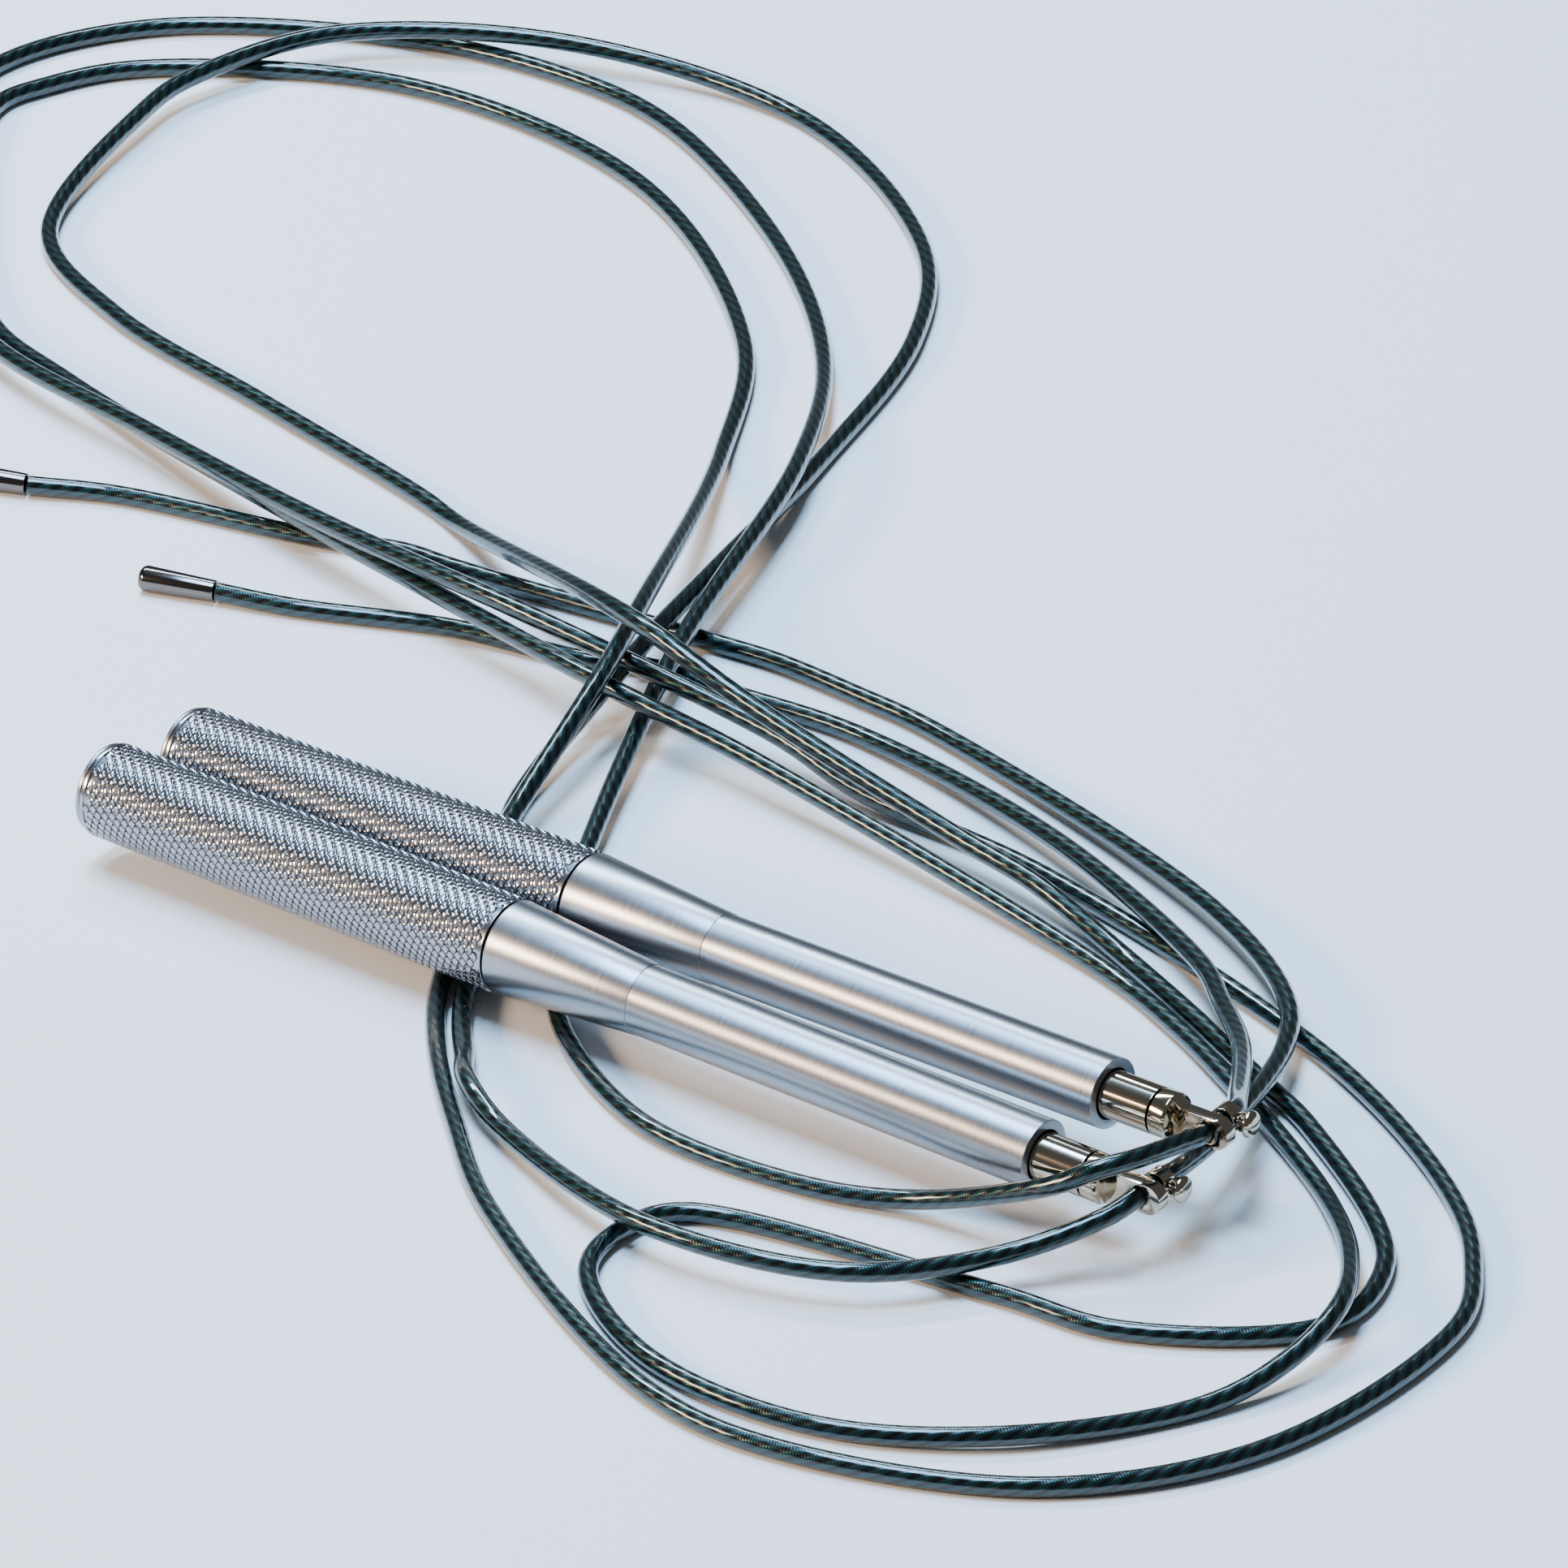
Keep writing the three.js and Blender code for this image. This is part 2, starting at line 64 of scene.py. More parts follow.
joints = {joint["name"]: joint for joint in frame["joints"]}
MM = 0.001

# %% [markdown]
# ## Camera
# A long lens from about 1.9 metres away keeps the two handles almost parallel in the view. The
# camera stands to the right and in front, and looks down at a little under thirty degrees.

# %% Camera
CAMERA_PLACE = (1.00221, -1.27481, 0.94610)
CAMERA_TILT = math.radians(60.5)
CAMERA_TURN = math.radians(37.6)
CAMERA_LENS = 318.54
SENSOR_WIDTH = 36
FAR_CLIP = 20

camera_data = bpy.data.cameras.new("camera")
camera_data.lens = CAMERA_LENS
camera_data.sensor_width = SENSOR_WIDTH
camera_data.clip_end = FAR_CLIP
camera = bpy.data.objects.new("camera", camera_data)
camera.location = CAMERA_PLACE
camera.rotation_euler = (CAMERA_TILT, 0, CAMERA_TURN)
bpy.context.scene.collection.objects.link(camera)
bpy.context.scene.camera = camera
print("camera:", CAMERA_PLACE)

# %% [markdown]
# ## Small helpers
# A finished piece keeps its place in its mesh, and its object stays at the origin. Faces are
# smooth, and an edge that turns by more than a set angle is kept sharp, as a turned edge is.

# %% Helpers for meshes and materials
SHARP_ANGLE = math.radians(32)
MERGE_DISTANCE = 0.001 * MM


def mesh_from(bm, name):
    """The finished mesh of a closed shape, with its faces outwards and its soft faces smooth."""
    bmesh.ops.remove_doubles(bm, verts=bm.verts, dist=MERGE_DISTANCE)
    bmesh.ops.recalc_face_normals(bm, faces=bm.faces)
    mesh = bpy.data.meshes.new(name)
    bm.to_mesh(mesh)
    bm.free()
    mesh.shade_smooth()
    mesh.set_sharp_from_angle(angle=SHARP_ANGLE)
    return mesh


def piece(name, mesh, material, place=Matrix.Identity(4)):
    """An object at the origin, with its place in its mesh. Its name joins its words with _."""
    mesh.transform(place)
    mesh.materials.clear()
    mesh.materials.append(material)
    obj = bpy.data.objects.new(name.replace(" ", "_"), mesh)
    bpy.context.scene.collection.objects.link(obj)
    return obj


def stand_for(obj, node, body):
    """The piece rides on a body and is shown in place of a CAD node."""
    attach(obj, body)
    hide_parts(node)


def new_material(name, color, metallic, roughness):
    """A material, its node tree and its shader."""
    material = bpy.data.materials.new(name)
    material.use_nodes = True
    shader = material.node_tree.nodes["Principled BSDF"]
    shader.inputs["Base Color"].default_value = (*color, 1)
    shader.inputs["Metallic"].default_value = metallic
    shader.inputs["Roughness"].default_value = roughness
    return material, material.node_tree, shader


def add_node(tree, kind, **settings):
    """A node with its settings."""
    node = tree.nodes.new(kind)
    for key, value in settings.items():
        setattr(node, key, value)
    return node


def math_node(tree, operation, *values):
    """The result of a Math node. Each value is a number or a socket."""
    node = add_node(tree, "ShaderNodeMath", operation=operation)
    for socket, value in zip(node.inputs, values):
        if isinstance(value, (int, float)):
            socket.default_value = value
        else:
            tree.links.new(value, socket)
    return node.outputs[0]


print("helpers ready")

# %% [markdown]
# ## The cable's finish
# A rope cable is made of steel wires, twisted into strands that are twisted again, under a clear
# tinted plastic coat. The strands show as slanted bands along the cable, and the wires in them as
# fine hatching. The coat gives one sharp line of light. The pattern reads the tube's own UV map:
# U goes once round the cable, and V is the length along it in metres, so it follows every bend.

# %% Cable material
STRANDS = 6
STRAND_STEP = 3.0 * MM
STRAND_DARK = (0.001, 0.003, 0.004, 1)
STRAND_GREEN = (0.006, 0.050, 0.036, 1)
STRAND_BLUE = (0.004, 0.030, 0.036, 1)
BAND_COLORS = ((0.30, STRAND_DARK), (0.62, STRAND_GREEN), (0.95, STRAND_BLUE))
WIRE_TURNS = -5
WIRE_STEP = 0.42 * MM
WIRE_DARKEST = 0.35
WIRE_CONTRAST = 0.75
WIRE_DEPTH = 0.25
BUMP_STRENGTH = 0.35
BUMP_DISTANCE = 0.12 * MM
WIRE_METALLIC = 0.6
WIRE_ROUGHNESS = 0.30
COAT_ROUGHNESS = 0.04
COAT_IOR = 1.45


def wave_of(tree, u, v, turns, step):
    """A wave from 0 to 1 that winds round the cable like a screw thread."""
    around = math_node(tree, "MULTIPLY", u, float(turns))
    along = math_node(tree, "DIVIDE", v, step)
    phase = math_node(tree, "ADD", around, along)
    swing = math_node(tree, "SINE", math_node(tree, "MULTIPLY", phase, 2 * math.pi))
    return math_node(tree, "MULTIPLY_ADD", swing, 0.5, 0.5)


def cable_material():
    """Slanted strands and fine wires under a clear coat."""
    material, tree, shader = new_material(
        "cable coat", STRAND_GREEN[:3], WIRE_METALLIC, WIRE_ROUGHNESS)
    shader.inputs["Coat Weight"].default_value = 1.0
    shader.inputs["Coat Roughness"].default_value = COAT_ROUGHNESS
    shader.inputs["Coat IOR"].default_value = COAT_IOR
    uv = add_node(tree, "ShaderNodeUVMap", uv_map="UVMap")
    split = add_node(tree, "ShaderNodeSeparateXYZ")
    tree.links.new(uv.outputs[0], split.inputs[0])
    u, v = split.outputs[0], split.outputs[1]
    strand = wave_of(tree, u, v, STRANDS, STRAND_STEP)
    wires = wave_of(tree, u, v, WIRE_TURNS, WIRE_STEP)
    bands = add_node(tree, "ShaderNodeValToRGB")
    stops = bands.color_ramp.elements
    stops.new(0.5)
    for stop, (position, color) in zip(stops, BAND_COLORS):
        stop.position = position
        stop.color = color
    tree.links.new(strand, bands.inputs[0])
    tint = add_node(tree, "ShaderNodeVectorMath", operation="SCALE")
    hatch = math_node(tree, "MULTIPLY_ADD", wires, WIRE_CONTRAST, WIRE_DARKEST)
    tree.links.new(bands.outputs[0], tint.inputs[0])
    tree.links.new(hatch, tint.inputs["Scale"])
    tree.links.new(tint.outputs[0], shader.inputs["Base Color"])
    bump = add_node(tree, "ShaderNodeBump")
    bump.inputs["Strength"].default_value = BUMP_STRENGTH
    bump.inputs["Distance"].default_value = BUMP_DISTANCE
    height = math_node(tree, "MULTIPLY_ADD", wires, WIRE_DEPTH, strand)
    tree.links.new(height, bump.inputs["Height"])
    tree.links.new(bump.outputs[0], shader.inputs["Normal"])
    return material


cable_coat = cable_material()
print("cable:", STRANDS, "strands, a band each", STRAND_STEP * 1000, "mm")

# %% [markdown]
# ## The cable
# The cable is one tube along a smooth curve through listed points, the same points as the CAD
# model has. The lists came out of programs outside this script: the strands' places were read off
# along their length, their heights were solved so that crossings keep a cable's thickness apart,
# and the points were thinned and rounded. Some were then moved. A centripetal Catmull-Rom curve
# passes through all of them without loops or kinks. The tube's rings are carried along the curve
# without twist, so that the strands keep their pitch.

# %% The cable's route
CABLE_RADIUS = 1.4 * MM
MAIN_ROUTE = [
    # out of the far eye, over the near handle's neck, and down in front of it
    (0.08716, 0.00922, 0.00397), (0.08722, 0.00702, 0.00397), (0.08716, 0.00382, 0.00397),
    (0.0867, 0.0005, 0.0043),
    (0.0855, -0.0085, 0.0055), (0.0825, -0.0135, 0.005), (0.0775, -0.016, 0.002),
    (0.0565, -0.018, -0.007),
    (0.042, -0.022, -0.0085), (0.0155, -0.023, -0.0085),
    # under both handles and round the first loop, past the far left end
    (-0.009, -0.0105, -0.0085), (-0.021, 0.003, -0.0085), (-0.0305, 0.0175, -0.0085),
    (-0.0585, 0.077, -0.005),
    (-0.079, 0.1325, -0.0045), (-0.1005, 0.1665, -0.008), (-0.1285, 0.192, -0.0085),
    (-0.167, 0.2135, -0.0085),
    (-0.188, 0.2165, -0.0085), (-0.216, 0.2115, -0.0085), (-0.2505, 0.1895, -0.0085),
    (-0.26, 0.1625, -0.0085),
    (-0.2365, 0.1235, -0.0085), (-0.201, 0.093, -0.006), (-0.16, 0.082, -0.004),
    (-0.12, 0.0725, -0.0015),
    (-0.077, 0.066, 0.0005), (-0.033, 0.0675, -0.005), (-0.017, 0.0655, -0.0075),
    (0.017, 0.0635, -0.0085),
    # the outermost loop, at the right and along the front
    (0.0785, 0.0465, -0.0085), (0.1115, 0.0275, -0.0085), (0.123, 0.0155, -0.0085),
    (0.1305, 0.001, -0.0085),
    (0.128, -0.038, -0.0085), (0.1105, -0.063, -0.0085), (0.0775, -0.0765, -0.0085),
    (0.0565, -0.0755, -0.0085),
    (0.0115, -0.0525, -0.0085), (-0.0065, -0.0375, -0.0085), (-0.019, -0.0255, -0.0085),
    # under the handles again, then the inner loop at the left
    (-0.028, -0.0145, -0.0085), (-0.0345, -0.0035, -0.0085), (-0.0425, 0.0135, -0.0085),
    (-0.0446, 0.018, -0.0074),
    (-0.047, 0.0245, -0.0053), (-0.0489, 0.0295, -0.005),
    (-0.056, 0.057, 0.001), (-0.064, 0.0765, 0.0015), (-0.0935, 0.133, -0.008),
    (-0.1135, 0.164, -0.0085),
    (-0.159, 0.1955, -0.0085), (-0.206, 0.199, -0.0085), (-0.2415, 0.179, -0.0085),
    (-0.2495, 0.1655, -0.0085),
    (-0.251, 0.1545, -0.0085), (-0.2075, 0.102, -0.0085), (-0.1825, 0.092, -0.008),
    (-0.0605, 0.0605, -0.002),
    (-0.0305, 0.0585, -0.004), (0.0395, 0.0475, -0.0085), (0.0565, 0.041, -0.0085),
    (0.072, 0.033, -0.0085),
    # the middle loop at the right, then the small one inside it
    (0.0855, 0.0255, -0.0085), (0.0985, 0.017, -0.0085), (0.1105, 0.005, -0.0065),
    (0.119, -0.0095, -0.0045),
    (0.1195, -0.021, -0.0065), (0.1155, -0.0345, -0.0085), (0.0995, -0.057, -0.008),
    (0.078, -0.069, -0.0085),
    (0.0515, -0.069, -0.0085), (0.031, -0.056, -0.0085), (0.029, -0.0435, -0.0085),
    (0.033, -0.037, -0.0085),
    (0.078, -0.0285, -0.0085), (0.096, -0.026, -0.0085), (0.1165, -0.009, -0.0085),
    (0.1135, 0.009, -0.0085),
    (0.0855, 0.031, -0.0085), (0.073, 0.037, -0.0085), (0.056, 0.045, -0.0085),
    (0.0385, 0.0525, -0.0085),
    # over everything at the middle, and round the top loop
    (0.02, 0.0575, -0.006), (0.0045, 0.06, -0.005), (-0.034, 0.063, 0.0015),
    (-0.0555, 0.065, 0.0065),
    (-0.112, 0.094, -0.0085), (-0.1204, 0.0968, -0.0085), (-0.1575, 0.1055, -0.0085),
    (-0.192, 0.1135, -0.0085),
    (-0.2175, 0.128, -0.0085), (-0.2295, 0.164, -0.0065), (-0.2305, 0.177, -0.006),
    (-0.2215, 0.2005, -0.005),
    (-0.1915, 0.221, -0.0055), (-0.1525, 0.2275, -0.0085), (-0.1115, 0.205, -0.0085),
    (-0.0935, 0.1795, -0.0085),
    (-0.0805, 0.1375, -0.0085), (-0.0625, 0.073, -0.0045), (-0.052, 0.0315, -0.0085),
    (-0.0465, 0.0253, -0.0085), (-0.041, 0.0188, -0.0085),
    # under the handles for the last time, then forwards and up into the near eye
    (-0.0384, 0.0136, -0.0085), (-0.0313, -0.0019, -0.0085), (-0.0282, -0.0073, -0.0085),
    (-0.0251, -0.0123, -0.0085),
    (-0.021, -0.0178, -0.0085), (-0.0159, -0.0236, -0.008), (-0.009, -0.0315, -0.0059),
    (0.0015, -0.037, -0.007), (0.035, -0.0475, -0.005), (0.062, -0.041, -0.005),
    (0.076, -0.0245, -0.005), (0.0848, -0.013, -0.0012), (0.086, -0.0096, 0), (0.086, -0.0064, 0),
    (0.0859, -0.0042, 0),
]
TAIL_A_ROUTE = [
    (0.08716, 0.00952, 0.00397), (0.0871, 0.0112, 0.00397), (0.0835, 0.017, 0.002),
    (0.071, 0.035, -0.0025),
    (0.06, 0.0455, -0.0045), (0.0515, 0.0525, -0.005), (0.013, 0.07, -0.0065),
    (-0.028, 0.0795, -0.0085),
    (-0.0495, 0.078, -0.0085), (-0.063, 0.077, -0.0085), (-0.072, 0.073, -0.0085),
    (-0.092, 0.069, -0.0085),
    (-0.1145, 0.0597, -0.0085), (-0.1251, 0.0562, -0.0081),
]
TAIL_B_ROUTE = [
    (0.0859, -0.0039, 0), (0.0858, -0.0022, 0), (0.0855, 0.001, -0.0005),
    (0.0825, 0.015, -0.0025),
    (0.0735, 0.0415, -0.0055), (0.0665, 0.052, -0.0055), (0.043, 0.0675, -0.0065),
    (-0.02, 0.087, -0.0085),
    (-0.0345, 0.0885, -0.0085), (-0.0493, 0.0893, -0.0085), (-0.058, 0.0885, -0.0085),
    (-0.1035, 0.083, -0.0085),
    (-0.112, 0.0825, -0.0085), (-0.1245, 0.078, -0.0085), (-0.156, 0.0705, -0.0085),
    (-0.1675, 0.0644, -0.0081),
]
print("route points:", len(MAIN_ROUTE), len(TAIL_A_ROUTE), len(TAIL_B_ROUTE))

# %% [markdown]
# ## A tube along the route
# Blender's own curve bevel would give the same round tube. A mesh tube is used because its UV map
# can be exact, and the strands under the coat need that. Each ring's side direction is turned only
# as much as the curve turns, so the tube has no twist of its own.

# %% The tube along a route
RING_STEP = 1.8 * MM
TUBE_SIDES = 20
END_FACE_ANGLE = math.radians(60)


def smooth_path(route):
    """Points at short steps on the centripetal curve through the route's points."""
    points = [Vector(place) for place in route]
    points.insert(0, 2 * points[0] - points[1])
    points.append(2 * points[-1] - points[-2])
    path = []
    for p0, p1, p2, p3 in zip(points, points[1:], points[2:], points[3:]):
        d0, d1, d2 = (math.sqrt((b - a).length) for a, b in ((p0, p1), (p1, p2), (p2, p3)))
        leave = ((p1 - p0) / d0 - (p2 - p0) / (d0 + d1) + (p2 - p1) / d1) * d1
        arrive = ((p2 - p1) / d1 - (p3 - p1) / (d1 + d2) + (p3 - p2) / d2) * d1
        steps = max(2, math.ceil((p2 - p1).length / RING_STEP))
        for i in range(steps):
            t = i / steps
            path.append(
                (2 * t**3 - 3 * t**2 + 1) * p1 + (t**3 - 2 * t**2 + t) * leave
                + (3 * t**2 - 2 * t**3) * p2 + (t**3 - t**2) * arrive
            )
    path.append(points[-2])
    return path


def tube_along(path, radius, name):
    """A closed tube with a UV map: once round in U, and metres along in V."""
    mesh = bpy.data.meshes.new(name)
    ways = [(path[min(i + 1, len(path) - 1)] - path[max(i - 1, 0)]).normalized()
            for i in range(len(path))]
    side = ways[0].orthogonal().normalized()
    places, lengths, length = [], [], 0.0
    for i, (middle, way) in enumerate(zip(path, ways)):
        if i:
            side = ways[i - 1].rotation_difference(way) @ side
            length += (middle - path[i - 1]).length
        lengths.append(length)
        up = way.cross(side)
        for j in range(TUBE_SIDES):
            angle = 2 * math.pi * j / TUBE_SIDES
            places.append(middle + radius * (math.cos(angle) * side + math.sin(angle) * up))
    faces, uvs = [], []
    for i in range(len(path) - 1):
        for j in range(TUBE_SIDES):
            corners = ((i, j), (i, j + 1), (i + 1, j + 1), (i + 1, j))
            faces.append([a * TUBE_SIDES + b % TUBE_SIDES for a, b in corners])
            uvs += [(b / TUBE_SIDES, lengths[a]) for a, b in corners]
    faces.append(list(range(TUBE_SIDES))[::-1])
    faces.append([(len(path) - 1) * TUBE_SIDES + j for j in range(TUBE_SIDES)])
    uvs += [(0.5, 0)] * TUBE_SIDES + [(0.5, length)] * TUBE_SIDES
    mesh.from_pydata(places, [], faces)
    layer = mesh.uv_layers.new(name="UVMap")
    for corner, uv in zip(layer.data, uvs):
        corner.uv = uv
    mesh.shade_smooth()
    mesh.set_sharp_from_angle(angle=END_FACE_ANGLE)
    return mesh, length


cables = {}
for node, route in (("cable_main", MAIN_ROUTE), ("cable_tail_a", TAIL_A_ROUTE),
                    ("cable_tail_b", TAIL_B_ROUTE)):
    path = smooth_path(route)
    mesh, length = tube_along(path, CABLE_RADIUS, node + " coat")
    cable = piece(node + " coat", mesh, cable_coat)
    stand_for(cable, node, "rope")
    cables[node] = (cable, path, length)
    print(node, "length", round(length, 3), "m,", len(path), "rings")

# %% [markdown]
# ## Turned parts
# Most of the metal is turned on a lathe, so each piece is an outline spun about the handle's axis.
# Every corner of the outline gets a small radius first: no real edge is perfectly sharp, and the
# thin bright line along an edge is what makes metal look like metal.

# %% Turned shapes
TURNED_SIDES = 96
EDGE_RADIUS = 0.12 * MM
ON_AXIS = 0.0001 * MM
STRAIGHT_ANGLE = math.radians(165)
LARGEST_CUT = 0.4
ARC_STEPS = (0, 0.33, 0.67, 1)


def softened(outline, radius=EDGE_RADIUS, closed=True):
    """The outline with a small arc at each corner that isn't on the axis."""
    points = [Vector((along * MM, out * MM)) for along, out in outline]
    soft = []
    for i, point in enumerate(points):
        before = points[i - 1] - point
        after = points[(i + 1) % len(points)] - point
        at_end = not closed and i in (0, len(points) - 1)
        if at_end or point.y < ON_AXIS or before.angle(after) > STRAIGHT_ANGLE:
            soft.append(point)
            continue
        back = min(radius, LARGEST_CUT * before.length, LARGEST_CUT * after.length)
        first = point + before.normalized() * back
        last = point + after.normalized() * back
        for t in ARC_STEPS:
            soft.append((1 - t) ** 2 * first + 2 * t * (1 - t) * point + t**2 * last)
    return soft


def spun(outline, sides=TURNED_SIDES, closed=True, radius=EDGE_RADIUS):
    """A closed shape spun about X. An open outline starts and ends on the axis."""
    profile = softened(outline, radius, closed)
    bm = bmesh.new()
    rings = []
    for point in profile:
        if point.y < ON_AXIS:
            rings.append([bm.verts.new((point.x, 0, 0))])
            continue
        rings.append([
            bm.verts.new((point.x, point.y * math.cos(a), point.y * math.sin(a)))
            for a in (2 * math.pi * j / sides for j in range(sides))
        ])
    pairs = list(zip(rings, rings[1:]))
    if closed:
        pairs.append((rings[-1], rings[0]))
    for one, two in pairs:
        for j in range(sides):
            k = (j + 1) % sides
            if len(one) == 1 and len(two) == 1:
                continue
            if len(one) == 1:
                bm.faces.new((one[0], two[j], two[k]))
            elif len(two) == 1:
                bm.faces.new((one[j], one[k], two[0]))
            else:
                bm.faces.new((one[j], one[k], two[k], two[j]))
    return bm


def handle_place(name):
    """Where a handle's own frame lies: its axis is +X, and its barrel's front face is x = 0."""
    spin = joints[name + "_handle_spin"]
    axis = Vector(spin["axis"]).normalized()
    across = Vector((0, 0, 1)).cross(axis).normalized()
    place = Matrix((axis, across, axis.cross(across))).transposed().to_4x4()
    place.translation = Vector(spin["pos_m"])
    return place


HANDLES = {name: handle_place(name) for name in ("near", "far")}
for name, place in HANDLES.items():
    print(name, "handle's front face at", [round(v, 4) for v in place.translation])

# %% [markdown]
# ## Metal finishes
# The aluminium is turned and then brushed on the lathe, so its marks run round the handle. A noise
# that is squeezed along the axis and stretched round it gives those rings. It reads object
# coordinates, and a Mapping node turns the far handle's pattern to its own axis.
# The small fittings are polished nickel, a little warm, and the tail caps are dark and polished.

# %% Metal materials
ALUMINIUM = (0.32, 0.325, 0.34)
MARK_SCALE = (9000, 160, 160)
MARK_DETAIL = 3.0
MARK_STRENGTH = 0.12
MARK_DISTANCE = 0.01 * MM
SMOOTHEST = 0.22
ROUGHNESS_SPREAD = 0.16


def brushed_aluminium(name, place):
    """Aluminium with fine rings about a handle's axis."""
    material, tree, shader = new_material(name, ALUMINIUM, 1.0, SMOOTHEST)
    coordinates = add_node(tree, "ShaderNodeTexCoord")
    turn = add_node(tree, "ShaderNodeMapping", vector_type="TEXTURE")
    turn.inputs["Location"].default_value = place.translation
    turn.inputs["Rotation"].default_value = place.to_euler()
    squeeze = add_node(tree, "ShaderNodeMapping")
    squeeze.inputs["Scale"].default_value = MARK_SCALE
    noise = add_node(tree, "ShaderNodeTexNoise")
    noise.inputs["Scale"].default_value = 1.0
    noise.inputs["Detail"].default_value = MARK_DETAIL
    tree.links.new(coordinates.outputs["Object"], turn.inputs[0])
    tree.links.new(turn.outputs[0], squeeze.inputs[0])
    tree.links.new(squeeze.outputs[0], noise.inputs["Vector"])
    rough = math_node(tree, "MULTIPLY_ADD", noise.outputs[0], ROUGHNESS_SPREAD, SMOOTHEST)
    tree.links.new(rough, shader.inputs["Roughness"])
    bump = add_node(tree, "ShaderNodeBump")
    bump.inputs["Strength"].default_value = MARK_STRENGTH
    bump.inputs["Distance"].default_value = MARK_DISTANCE
    tree.links.new(noise.outputs[0], bump.inputs["Height"])
    tree.links.new(bump.outputs[0], shader.inputs["Normal"])
    return material


brushed = {name: brushed_aluminium(name + " brushed aluminium", place)
           for name, place in HANDLES.items()}
knurled = new_material("knurled aluminium", (0.35, 0.355, 0.375), 1.0, 0.20)[0]
polished_nickel = new_material("polished nickel", (0.48, 0.405, 0.31), 1.0, 0.10)[0]
dark_cap = new_material("polished dark cap", (0.16, 0.135, 0.12), 1.0, 0.14)[0]
bearing_steel = new_material("bearing steel", (0.56, 0.56, 0.57), 1.0, 0.25)[0]
print("materials:", len(bpy.data.materials))

# %% [markdown]
# ## Barrels, plugs and sleeves
# The barrel is one turned piece: a smooth cone that takes the grip's width down, a small step, and
# the long front tube. Its mouth holds the sleeve in which the spindle turns.

# %% Barrel, plug and sleeve
BARREL = [
    (-100, 4.15), (-100, 5.3), (-90.1, 5.3), (-90.1, 6.4), (-89.8, 6.7), (-66.6, 5.1),
    (-66.6, 5.0), (0, 5.0), (0, 3.65), (-1.5, 3.65), (-1.5, 4.15),
]
END_PLUG = [
    (-162, 0), (-162, 6.5), (-161.3, 6.5), (-161.3, 5.3), (-153, 5.3), (-153, 0),
]
SLEEVE = [
    (-3.0, 1.75), (-3.0, 3.85), (-1.8, 3.85), (-1.8, 3.35), (7.8, 3.35), (7.8, 1.75),
]
PLUG_EDGE_RADIUS = 0.3 * MM
for name, place in HANDLES.items():
    for part, outline, closed, radius, finish, slot in (
        ("barrel", BARREL, True, EDGE_RADIUS, brushed[name], "aluminium"),
        ("end plug", END_PLUG, False, PLUG_EDGE_RADIUS, brushed[name], "aluminium"),
        ("sleeve", SLEEVE, True, EDGE_RADIUS, polished_nickel, "nickel"),
    ):
        full_name = f"{name} {part}"
        mesh = mesh_from(spun(outline, closed=closed, radius=radius), full_name)
        turned_part = piece(full_name, mesh, finish, place)
        stand_for(turned_part, full_name.replace(" ", "_"), name + "_handle")
print("turned pieces on two handles")

# %% [markdown]
# ## Knurled grips
# A knurling wheel presses two crossing sets of grooves into the grip, and leaves small raised pads
# between them. With 29 grooves one way and 16 the other way round the grip, the pads all lie on
# one steep spiral: each next pad is a tiny step along the axis and a fixed part of a turn round.
# That rule is all that Geometry Nodes need: a line of points, wound up by its index, with one pad
# on each point. The pad has few faces, because it is repeated some two thousand times.

# %% One pad
GRIP_REAR = -161.0
GRIP_FRONT = -90.4
GRIP_RADIUS = 6.8
PAD_BASE_RADIUS = 6.5
PAD_FIRST = -159.95
PAD_LAST = -90.95
SHORT_STARTS = 29
LONG_ROW = 45
PAD_STEP_ALONG = 1.32
PAD_STEP_ROUND = 0.38
GRIP_ROUND = 2 * math.pi * GRIP_RADIUS
SIDE_ONE = Vector((-PAD_STEP_ALONG * SHORT_STARTS / LONG_ROW,
                   (GRIP_ROUND - SHORT_STARTS * PAD_STEP_ROUND) / LONG_ROW))
SIDE_TWO = Vector((PAD_STEP_ALONG, PAD_STEP_ROUND)) + SIDE_ONE
PAD_CORNER = 0.55
NEXT_PAD_ROWS = 31
PAD_LAYERS = [(0.98, -0.32), (0.92, -0.16), (0.78, -0.02), (0.68, 0.0), (0.46, -0.05)]


def pad_mesh():
    """A slanted pad with rounded corners, its rim raised a little over its middle."""
    c = PAD_CORNER
    corners = [(1, -c), (1, c), (c, 1), (-c, 1), (-1, c), (-1, -c), (-c, -1), (c, -1)]
    bm = bmesh.new()
    loops = []
    for scale, height in PAD_LAYERS:
        loop = []
        for a, b in corners:
            flat = (a * SIDE_ONE + b * SIDE_TWO) * scale / 2
            drop = flat.y**2 / (2 * GRIP_RADIUS)
            loop.append(bm.verts.new((flat.x * MM, flat.y * MM, (height - drop) * MM)))
        loops.append(loop)
    for low, high in zip(loops, loops[1:]):
        for i in range(8):
            k = (i + 1) % 8
            bm.faces.new((low[i], low[k], high[k], high[i]))
    bm.faces.new(loops[-1])
    bm.faces.new(loops[0][::-1])
    return mesh_from(bm, "knurl pad")


pad = bpy.data.objects.new("knurl pad", pad_mesh())
bpy.context.scene.collection.objects.link(pad)
print("pad sides", round(SIDE_ONE.length, 2), "and", round(SIDE_TWO.length, 2), "mm")

# %% [markdown]
# ## The knurling as a tree of nodes
# An Array modifier could repeat the pad in rows, but the rows of a knurl are slanted and must meet
# themselves again after one turn. A rule on each point's index does both, so the tree works out
# place and turn from the index, puts a pad on every point, and joins the pads to the plain tube.

# %% The knurling tree


